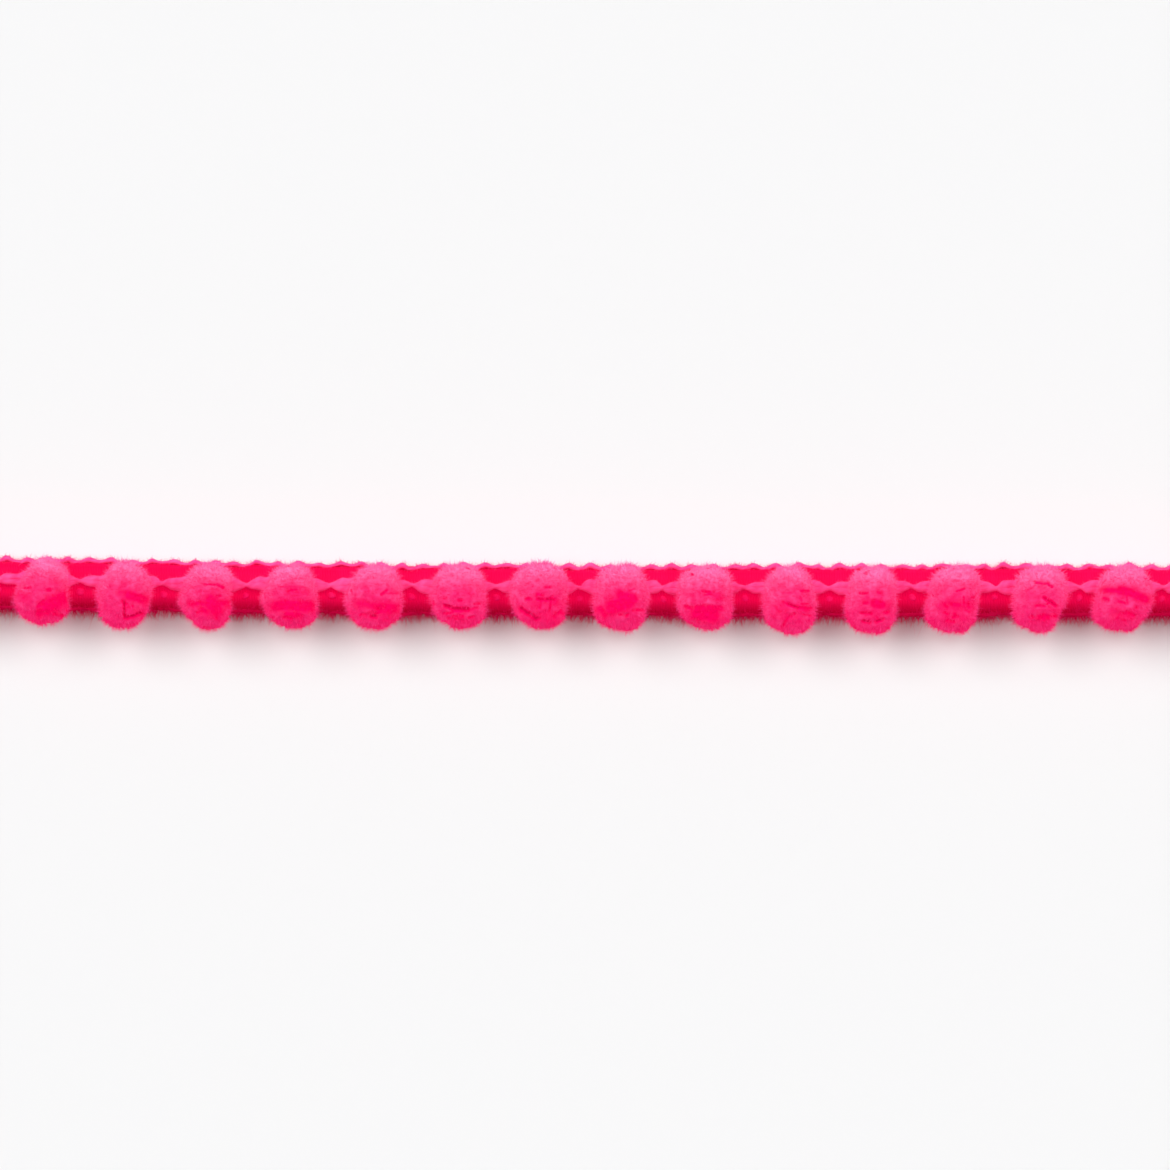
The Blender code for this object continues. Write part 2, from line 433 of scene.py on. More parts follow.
TWISTS_PER_METRE = 900.0
PLIES = 2.0
FIBRE_SCALE = 5200.0
FACE_PLY, FACE_FIBRE, FACE_LEVEL = 0.45, 0.35, 0.12
YARN_PATCH_SCALE = 380.0
YARN_PATCH_FROM, YARN_PATCH_CONTRAST = 0.45, 1.2
YARN_ROUGHNESS, PLY_SMOOTHER = 0.72, 0.12
YARN_SHINE = 0.05
YARN_GLOW_STRENGTH = 0.5
DEEPEST_SHADE = 0.9
FURROW_STRENGTH = 0.55
FURROW_DEPTH = 0.06 * MM
FURROW_PLY, FURROW_FIBRE = 0.75, 0.35
# Each row is the one pink yarn painted as a lit or shaded copy. deep shows in the ply furrows as painted
# shade and in random fibres, pale comes in random patches, and glow is a painted glow.
Dye = namedtuple("Dye", "name deep face pale glow")
LIT_AND_SHADED_YARNS = (
    Dye("deep pink yarn", (0.52, 0.0002, 0.030, 1.0), (0.60, 0.0004, 0.055, 1.0), (0.64, 0.004, 0.09, 1.0),
        (0.70, 0.0, 0.08, 1.0)),
    Dye("bright pink yarn", (0.60, 0.002, 0.07, 1.0), (0.66, 0.012, 0.13, 1.0), (0.70, 0.04, 0.21, 1.0),
        (0.70, 0.0, 0.08, 1.0)),
    Dye("pale pink yarn", (0.62, 0.035, 0.18, 1.0), (0.70, 0.085, 0.30, 1.0), (0.80, 0.16, 0.44, 1.0),
        (0.80, 0.006, 0.09, 1.0)),
)
# The colour and the weaker glow of painted shade.
YARN_SHADE = (0.38, 0.0005, 0.025, 1.0)
SHADE_GLOW = (0.32, 0.0, 0.02, 1.0)


def yarn_finish(dye):
    material, tree = new_finish(dye.name)
    along = attribute(tree, "along")
    around = attribute(tree, "around", "Vector")
    side = tree.add("ShaderNodeSeparateXYZ", values={"Vector": around})
    angle = side.other("Y").math("ARCTAN2", side)
    ply = (along * (TWISTS_PER_METRE * 2 * math.pi) + angle * PLIES).math("SINE") * 0.5 + 0.5
    fibre = patches(tree, FIBRE_SCALE, 3.0)
    patchy = patches(tree, YARN_PATCH_SCALE, 2.0)
    # The ply furrows take the deeper colour: painted shade.
    colour = mixed(tree, ply * FACE_PLY + fibre * FACE_FIBRE + FACE_LEVEL, dye.deep, dye.face)
    colour = mixed(tree, (patchy - YARN_PATCH_FROM) * YARN_PATCH_CONTRAST, colour, dye.pale)
    # Painted shade: the attribute shade darkens colour and glow, and not at all at the tips of stray
    # fibres.
    shade = attribute(tree, "shade") * (DEEPEST_SHADE - attribute(tree, "tip") * DEEPEST_SHADE)
    height = ply * FURROW_PLY + fibre * FURROW_FIBRE
    furrows = {"Strength": FURROW_STRENGTH, "Distance": FURROW_DEPTH, "Height": height}
    # The emission is a painted glow, weaker where shade is painted.
    values = {
        "Base Color": mixed(tree, shade, colour, YARN_SHADE),
        "Roughness": YARN_ROUGHNESS - ply * PLY_SMOOTHER,
        "Specular IOR Level": YARN_SHINE,
        "Emission Color": mixed(tree, shade, dye.glow, SHADE_GLOW),
        "Emission Strength": YARN_GLOW_STRENGTH,
        "Normal": tree.add("ShaderNodeBump", values=furrows),
    }
    end_finish(tree, values)
    return material


deep_yarn, bright_yarn, pale_yarn = [yarn_finish(dye) for dye in LIT_AND_SHADED_YARNS]
print("finishes:", [dye.name for dye in LIT_AND_SHADED_YARNS])

# %% [markdown]
# ## The finish of the pile
# Cut pile shows its fibres end on. The colour is painted deep at the root and brighter at the cut tip, as
# painted shade where the fibres stand close together. It is painted palest on the heading side and the
# flanks, as a painted sheen where the light falls, and deepest where it has sunk into a cleft, as painted
# shade. A red painted glow stands for fluorescence and for light that comes through the pile to its shaded
# side. One even pink, with the rest left to the light, would look like felt. So the body under the pile
# writes what is sunk and open as attributes, where open carries the painted sheen, and each fibre writes
# its own tip, and the colours, with their painted light and shade, stay on the pile however it is lit.

# %% Pile finish
# Painted shade at the root, deeper than the cut tip.
PILE_ROOT = (0.34, 0.014, 0.085, 1.0)
PILE_TIP = (0.38, 0.050, 0.18, 1.0)
# A painted sheen, paler on the heading side and the flanks.
PILE_PAINTED_SHEEN = (0.60, 0.235, 0.46, 1.0)
# Painted shade in clefts and hollows, darkest in the deepest clefts.
PILE_SUNK_SHADE = (0.40, 0.0005, 0.075, 1.0)
PILE_DEEPEST_SHADE = (0.30, 0.0, 0.05, 1.0)
PILE_LOOSE = (0.50, 0.09, 0.34, 1.0)
# A painted glow, weaker in the clefts.
PILE_GLOW = (1.0, 0.0012, 0.12, 1.0)
SUNK_GLOW = (1.0, 0.0, 0.07, 1.0)
DEEPEST_GLOW = (0.75, 0.0, 0.05, 1.0)
PILE_GLOW_STRENGTH = 0.58
PILE_PATCH_SCALE = 900.0
TIP_SHARE, TIP_PATCH, TIP_LEVEL = 0.6, 1.9, 0.1
SHEEN_PATCH, SHEEN_AT_ROOT = 0.4, 0.5
CLEFT_SLOPE, CLEFT_START = 2.4, 0.4
DEEPEST_SLOPE, DEEPEST_START = 4.0, 3.0
LOOSE_SHARE = 0.8
PILE_ROUGHNESS = 0.6
PILE_SHINE = 0.02


def pile_finish():
    material, tree = new_finish("cut pink pile")
    tip = attribute(tree, "tip")
    sunk = attribute(tree, "sunk")
    patchy = patches(tree, PILE_PATCH_SCALE, 2.0) - 0.5
    # The attribute open carries the painted sheen of the heading side and the flanks.
    painted_sheen = attribute(tree, "open") + patchy * SHEEN_PATCH
    cleft = sunk * CLEFT_SLOPE - CLEFT_START
    deepest = sunk * DEEPEST_SLOPE - DEEPEST_START
    colour = mixed(tree, tip * TIP_SHARE + patchy * TIP_PATCH + TIP_LEVEL, PILE_ROOT, PILE_TIP)
    colour = mixed(tree, painted_sheen * (tip * (1 - SHEEN_AT_ROOT) + SHEEN_AT_ROOT), colour, PILE_PAINTED_SHEEN)
    # Clefts and hollows are painted deeper: painted shade.
    colour = mixed(tree, cleft, colour, PILE_SUNK_SHADE)
    colour = mixed(tree, deepest, colour, PILE_DEEPEST_SHADE)
    colour = mixed(tree, attribute(tree, "loose") * (tip * LOOSE_SHARE), colour, PILE_LOOSE)
    glow = mixed(tree, cleft, PILE_GLOW, SUNK_GLOW)
    values = {
        "Base Color": colour,
        "Roughness": PILE_ROUGHNESS,
        "Specular IOR Level": PILE_SHINE,
        "Emission Color": mixed(tree, deepest, glow, DEEPEST_GLOW),
        "Emission Strength": PILE_GLOW_STRENGTH,
    }
    end_finish(tree, values)
    return material


pile = pile_finish()
print("finish:", pile.name)

# %% [markdown]
# ## The band: its wefts
# The ground of the band is fine yarn laid to and fro across its width. Seen from above it is a flat
# ribbed cloth. A flat strip with a ribbed finish would be lighter, but its ribs would vanish from the
# side. So one round of that yarn is drawn as a closed ring of points round the band's section, and
# Geometry Nodes give it thickness and repeat it along the length. The rings close round the back too, so
# the band is finished on all sides. Its colour is painted darker towards the lower edge, where it lies in
# the shade: painted shade.

# %% Wefts
WEFTS_PER_STITCH = 8
WEFT_PITCH = STITCH_PITCH / WEFTS_PER_STITCH
WEFT_RADIUS = 0.24 * MM
WEFT_SIDES = 6
WEFT_ROUND = (
    (2.42, 0.56), (2.24, 0.76), (2.00, 0.72), (1.75, 0.66), (1.45, 0.70), (1.15, 0.92), (0.60, 1.12),
    (0.05, 0.92), (-0.30, 0.70), (-0.75, 0.64), (-1.15, 0.72), (-1.60, 0.84), (-2.05, 0.80), (-2.48, 0.62),
    (-2.78, 0.36), (-2.68, 0.25), (0.00, 0.25), (2.36, 0.25), (2.50, 0.38),
)
SHADE_FROM = -1.30 * MM
SHADE_TO = -2.60 * MM


def yarn_round(tree, curve, radius, sides, caps, plump=1.0):
    """Gives a curve the thickness of a yarn, and writes where each point is along and round it."""
    marked = stored(tree, curve, "along", tree.add("GeometryNodeSplineParameter", output="Length"))
    circle = tree.add("GeometryNodeCurvePrimitiveCircle", values={"Resolution": sides, "Radius": radius})
    profile = stored(tree, circle, "around", tree.add("GeometryNodeInputPosition"), "FLOAT_VECTOR")
    values = {"Curve": marked, "Profile Curve": profile, "Scale": plump, "Fill Caps": caps}
    tube = tree.add("GeometryNodeCurveToMesh", values=values)
    return tree.add("GeometryNodeSetShadeSmooth", values={"Geometry": tube, "Shade Smooth": True})


def weft_growth():
    inputs = {"Int": "Count, Sides", "Float": "Pitch, Radius", "Material": "Dye"}
    tree, given = new_growth("wefts", inputs)
    ring = tree.add("GeometryNodeMeshToCurve", values={"Mesh": given["Geometry"]})
    tube = yarn_round(tree, ring, given["Radius"], given["Sides"], False)
    _, y, _ = place_parts(tree)
    # Painted shade: darker from SHADE_FROM towards the lower edge at SHADE_TO.
    shade = ((y - SHADE_FROM) * (1 / (SHADE_TO - SHADE_FROM))).math("MAXIMUM", 0.0).math("MINIMUM", 1.0)
    tube = stored(tree, tube, "shade", shade)
    start = given["Pitch"] * 0.5 - BAND_LENGTH / 2
    laid = repeated(tree, tube, given["Count"], start, given["Pitch"])
    return end_growth(tree, bent(tree, laid), given["Dye"])


def ring_mesh(points):
    """A closed ring of points across the band, as a mesh of edges."""
    mesh = bpy.data.meshes.new("ring")
    places = [(0.0, across * MM, height * MM) for across, height in points]
    edges = [(n, (n + 1) % len(places)) for n in range(len(places))]
    mesh.from_pydata(places, edges, [])
    return mesh


weft_count = round(BAND_LENGTH / WEFT_PITCH)
settings = {"Count": weft_count, "Pitch": WEFT_PITCH, "Radius": WEFT_RADIUS, "Sides": WEFT_SIDES}
settings["Dye"] = deep_yarn
wefts = grown("band_wefts", weft_growth(), settings, ring_mesh(WEFT_ROUND))
print("wefts:", weft_count, "triangles:", triangles(wefts))

# %% [markdown]
# ## The band: its core
# Each weft is a hollow round, so at the two cut ends you could look through them. A plain box would stick
# out past the curved rounds. So a strip with their own outline, drawn in a little, is carried along the
# bend and closed at both ends.

# %% Core
CORE_SHRINK = 0.12 * MM
CORE_STEPS = 64
# Painted shade on the core, which lies deep inside the rounds.
CORE_SHADE = 0.6


def core_mesh(points):
    """A closed strip with the outline of the wefts' middle line, a little smaller."""
    middle = sum(height for _, height in points) / len(points) * MM
    outline = []
    for across, height in points:
        y, z = across * MM, height * MM
        shrunk_z = z - math.copysign(CORE_SHRINK, z - middle) / 2
        outline.append((y - math.copysign(CORE_SHRINK, y), shrunk_z))
    length = BAND_LENGTH - WEFT_PITCH
    stations = [length * (step / CORE_STEPS - 0.5) for step in range(CORE_STEPS + 1)]
    verts = [(x, y + bend(x), z) for x in stations for y, z in outline]
    size = len(outline)
    faces = [tuple(range(size)), tuple(reversed([CORE_STEPS * size + n for n in range(size)]))]
    for step in range(CORE_STEPS):
        for n in range(size):
            here, beside = step * size + n, step * size + (n + 1) % size
            faces.append((here, here + size, beside + size, beside))
    mesh = bpy.data.meshes.new("band_core")
    mesh.from_pydata(verts, [], faces)
    mesh.materials.append(deep_yarn)
    mesh.attributes.new("shade", "FLOAT", "POINT").data.foreach_set("value", [CORE_SHADE] * len(verts))
    return mesh


core = new_object("band_core", core_mesh(WEFT_ROUND))
print("core triangles:", triangles(core))

# %% [markdown]
# ## The band: its chains
# Two rows of stitches run along the band and hold the wefts: a thick chain along the middle that the
# pompoms are tied to, and single bumps further down. A chain stitch shows as a V of two short legs, plump
# in the middle and thin at the ends. One bent tube for a whole row would be simpler, but would show no
# legs. So each leg is a curved line of three points, and Geometry Nodes repeat the pair along the length.
# The tie yarns draw the middle chain together in each gap, which is its pinch.

# %% Chains
Chain = namedtuple("Chain", "name across height half_width radius pitch length phase pinch dye")
# pale_yarn and bright_yarn are lit copies of the one yarn: painted light.
CHAINS = (
    Chain("middle_chain", 0.40, 1.20, 0.38, 0.25, 1.25, 1.45, 0.0, 0.75, pale_yarn),
    Chain("lower_chain", -1.00, 0.86, 0.10, 0.32, 2.5, 0.80, 0.5, 0.0, bright_yarn),
)
MEASURES = ("pitch", "across", "height", "half_width", "radius", "length", "swing", "rise", "curl")
LEG_POINTS = 7
LEG_SIDES = 8
LEG_THINNEST = 0.45
LEG_PLACES = {"Start": (-0.46, 0.10, -0.65), "Middle": (0.04, 1.75, 0.75), "End": (0.56, 0.55, -0.15)}


def chain_growth():
    numbers = "Pitch, Across, Height, Half Width, Radius, Length, Phase, Pinch"
    tree, given = new_growth("chain stitches", {"Int": "Count", "Float": numbers, "Material": "Dye"})
    legs = []
    for side in (1.0, -1.0):
        values = {"Resolution": LEG_POINTS}
        for name, (x, y, z) in LEG_PLACES.items():
            across = given["Half Width"] * (side * y)
            values[name] = vector(tree, given["Length"] * x, across, given["Radius"] * z)
        leg = tree.add("GeometryNodeCurveQuadraticBezier", values=values)
        share = tree.add("GeometryNodeSplineParameter", output="Factor")
        plump = (share * math.pi).math("SINE") * (1 - LEG_THINNEST) + LEG_THINNEST
        legs.append(yarn_round(tree, leg, given["Radius"], LEG_SIDES, True, plump))
    start = given["Pitch"] * (given["Phase"] + 0.5) - BAND_LENGTH / 2 - CROSSING_SHIFT
    laid = repeated(tree, joined(tree, *legs), given["Count"], start, given["Pitch"])
    x, y, z = place_parts(tree)
    gap = (x * (2 * math.pi / POMPOM_PITCH)).math("COSINE") * 0.5 + 0.5
    drawn_in = y * (1 - gap * given["Pinch"]) + given["Across"]
    placed = moved_to(tree, laid, vector(tree, x, drawn_in, z + given["Height"]))
    return end_growth(tree, bent(tree, uneven(tree, placed)), given["Dye"])


def row_settings(row, **others):
    """A row of a table as inputs of its tree, with its measures turned into metres."""
    settings = {}
    for name, value in row._asdict().items():
        settings[name.replace("_", " ").title()] = value * MM if name in MEASURES else value
    return {**settings, **others}


chain_tree = chain_growth()
chains = []
for row in CHAINS:
    count = round(BAND_LENGTH / (row.pitch * MM)) - (1 if row.phase else 0)
    chains.append(grown(row.name, chain_tree, row_settings(row, Count=count)))
    print(row.name, "triangles:", triangles(chains[-1]))

# %% [markdown]
# ## The band: yarns that swing
# Three more kinds of yarn follow the band in waves. The heading yarn swings out between stitches and makes
# the small loops of the upper edge. A cord closes each edge. The two tie yarns hold the pompoms: they part
# to pass round each pompom, and cross in the middle of each gap, so the ridge narrows to an X there. These
# yarns are loose, so they swell where nothing holds them, and have a knob at each stitch. They could be
# drawn by hand as curves, but a sine wave along the length repeats without a slip, and one tree makes all
# five from their own numbers.

# %% Heading loops, edge cords and tie yarns
Swing = namedtuple(
    "Swing", "name pitch across height swing rise curl phase radius swell knobs shade points sides dye"
)
# The shade column is painted shade, dark along the heading cord and the lower cord; pale_yarn and
# bright_yarn are the painted lit copies of the one yarn.
SWINGS = (
    Swing("heading_loops", 2.5, 2.75, 0.80, 0.15, 0.10, 0.14, 0.5, 0.19, 0.0, 0.4, 0.0, 32, 8, pale_yarn),
    Swing("heading_cord", 2.5, 2.54, 0.68, 0.06, 0.04, 0.0, 0.5, 0.20, 0.0, 0.0, 1.0, 24, 6, deep_yarn),
    Swing("lower_cord", 5.0, -2.90, 0.34, 0.03, 0.02, 0.0, 0.0, 0.20, 0.0, 0.0, 0.85, 24, 8, bright_yarn),
    Swing("tie_yarn_over", 20.0, 0.33, 1.26, 0.60, 0.0, 0.0, 0.25, 0.26, 0.6, 0.8, 0.0, 80, 10, pale_yarn),
    Swing("tie_yarn_under", 20.0, 0.33, 1.18, 0.60, 0.0, 0.0, 0.75, 0.26, 0.6, 0.8, 0.0, 80, 10, pale_yarn),
)


def swing_growth():
    numbers = "Pitch, Across, Height, Swing, Rise, Curl, Phase, Radius, Swell, Knobs, Shade"
    inputs = {"Int": "Points, Sides", "Float": numbers, "Material": "Dye"}
    tree, given = new_growth("swinging yarn", inputs)
    ends = {"Start": (-BAND_LENGTH / 2, 0.0, 0.0), "End": (BAND_LENGTH / 2, 0.0, 0.0)}
    line = tree.add("GeometryNodeCurvePrimitiveLine", values=ends)
    line = tree.add("GeometryNodeResampleCurve", values={"Curve": line, "Count": given["Points"]})
    x, _, _ = place_parts(tree)
    from_crossing = x + CROSSING_SHIFT
    turn = (from_crossing / given["Pitch"] + given["Phase"]) * (2 * math.pi)
    out = turn.math("COSINE")
    curled = x - turn.math("SINE") * given["Curl"]
    across = out * given["Swing"] + given["Across"]
    line = moved_to(tree, line, vector(tree, curled, across, out * given["Rise"] + given["Height"]))
    knob = 0.5 - (from_crossing * (2 * math.pi / STITCH_PITCH)).math("COSINE") * 0.5
    plump = out.math("ABSOLUTE") * given["Swell"] + knob * given["Knobs"] + 1.0
    tube = yarn_round(tree, line, given["Radius"], given["Sides"], True, plump)
    tube = stored(tree, tube, "shade", given["Shade"])
    return end_growth(tree, bent(tree, uneven(tree, tube)), given["Dye"])


swing_tree = swing_growth()
swings = []
for row in SWINGS:
    points = round(BAND_LENGTH / (row.pitch * MM) * row.points) + 1
    swings.append(grown(row.name, swing_tree, row_settings(row, Points=points)))
    print(row.name, "triangles:", triangles(swings[-1]))

# %% [markdown]
# ## The pompoms: their shape
# A pompom is a bundle of yarn tied at its middle and cut round, so its pile stands out on all sides. Each
# one is a little different. Its half widths to the left and right are known at six levels across the band,
# and the pile is pressed flat where it lies on the band. Sixteen balls could be squashed one by one, but
# one function that carries any point of a ball to a pompom's own shape serves the bodies and the clefts.

# %% The shape of each pompom
LEVELS = (2.2, 1.0, -1.2, -2.4, -3.6, -4.6)
LEVEL_BLUR = (-0.9, -0.45, 0.0, 0.45, 0.9)
SIDE_BLEND = 0.25
PILE_UNDERSIDE = 0.75
PRESSED_HEIGHT = 2.25
PRESSED_FROM = -2.75
SPRING_SLOPE = 0.5
Shape = namedtuple("Shape", "top bottom height left right")
POMPOMS = (
    Shape(3.2, -5.2, 7.2, (2.4, 3.1, 3.9, 3.9, 3.4, 2.4), (2.3, 2.8, 3.2, 3.1, 2.8, 2.0)),
    Shape(3.3, -5.3, 7.2, (1.5, 2.7, 3.4, 3.7, 3.2, 2.3), (2.8, 3.1, 3.1, 3.3, 3.3, 2.5)),
    Shape(3.3, -5.6, 7.4, (1.9, 2.9, 3.8, 3.5, 3.4, 2.9), (1.8, 3.0, 3.3, 2.9, 2.8, 1.9)),
    Shape(3.1, -5.6, 7.1, (2.3, 2.8, 3.9, 3.9, 2.9, 2.3), (2.5, 2.7, 2.7, 2.8, 2.6, 2.1)),
    Shape(3.1, -5.2, 7.3, (2.6, 3.0, 4.1, 3.9, 3.0, 1.9), (2.2, 2.6, 3.0, 3.1, 2.8, 2.3)),
    Shape(3.2, -5.2, 7.5, (2.4, 3.1, 4.1, 3.7, 3.3, 2.4), (2.6, 2.8, 3.4, 3.3, 2.8, 2.1)),
    Shape(3.3, -5.0, 7.2, (2.8, 3.3, 3.9, 3.6, 2.6, 1.7), (2.8, 3.0, 3.2, 3.4, 2.9, 2.1)),
    Shape(3.6, -5.0, 7.3, (3.4, 3.9, 4.1, 3.7, 3.1, 2.0), (2.6, 3.2, 2.8, 2.8, 2.7, 2.1)),
    Shape(3.4, -5.2, 7.4, (3.6, 3.7, 4.2, 4.1, 3.9, 2.9), (2.0, 2.6, 2.7, 2.5, 2.2, 1.6)),
    Shape(3.2, -5.1, 7.1, (3.5, 3.8, 4.2, 4.1, 3.3, 2.3), (2.3, 2.7, 2.6, 2.7, 2.7, 1.8)),
    Shape(3.2, -5.6, 7.3, (2.8, 3.6, 3.8, 4.0, 3.6, 3.0), (1.6, 2.3, 3.0, 2.8, 2.6, 2.3)),
    Shape(3.1, -5.6, 7.2, (2.9, 3.3, 3.9, 4.0, 3.9, 3.3), (1.9, 2.3, 2.6, 2.4, 2.3, 1.9)),
    Shape(3.2, -5.5, 7.4, (3.2, 3.7, 4.0, 4.4, 4.5, 3.6), (2.2, 2.4, 2.3, 2.1, 1.9, 1.4)),
    Shape(3.2, -5.4, 7.3, (3.1, 3.4, 3.9, 4.0, 3.7, 3.0), (2.5, 2.9, 2.9, 2.5, 1.8, 1.1)),
    Shape(3.2, -5.3, 7.5, (2.9, 3.5, 3.9, 4.3, 4.2, 3.4), (2.4, 3.0, 3.3, 3.0, 2.2, 1.2)),
    Shape(3.3, -5.2, 7.2, (2.8, 3.3, 3.7, 3.7, 3.2, 2.3), (2.5, 2.9, 3.3, 3.3, 2.9, 2.0)),
)


def middle_and_half(shape):
    """The middle of a pompom across the band, and how far it reaches from there."""
    return (shape.top + shape.bottom) / 2, (shape.top - shape.bottom) / 2


def widths_at(levels, shape, widths):
    """The half widths at some levels, as multiples of the unit ball's own half widths there."""
    middle, half_height = middle_and_half(shape)
    shares = (np.array(LEVELS) - middle) / half_height
    fullness = np.array(widths) / np.sqrt(1 - shares**2)
    nearby = [np.interp(-(levels + step), -np.array(LEVELS), fullness) for step in LEVEL_BLUR]
    return np.mean(nearby, axis=0)


def pile_points(units, shape):
    """Carries points of the unit ball to the pompom's own shape, in millimetres from its tie."""
    middle, half_height = middle_and_half(shape)
    y = middle + units[:, 1] * half_height
    blend = 0.5 + 0.5 * np.tanh(units[:, 0] / SIDE_BLEND)
    left, right = widths_at(y, shape, shape.left), widths_at(y, shape, shape.right)
    x = units[:, 0] * (left + (right - left) * blend)
    z = (shape.height + PILE_UNDERSIDE) / 2 + units[:, 2] * (shape.height - PILE_UNDERSIDE) / 2
    past_edge = np.maximum(0.0, PRESSED_FROM - y)
    lowest = PRESSED_HEIGHT - SPRING_SLOPE * past_edge
    return np.stack((x, y, np.maximum(z, lowest)), axis=1)


print("pompoms:", len(POMPOMS))
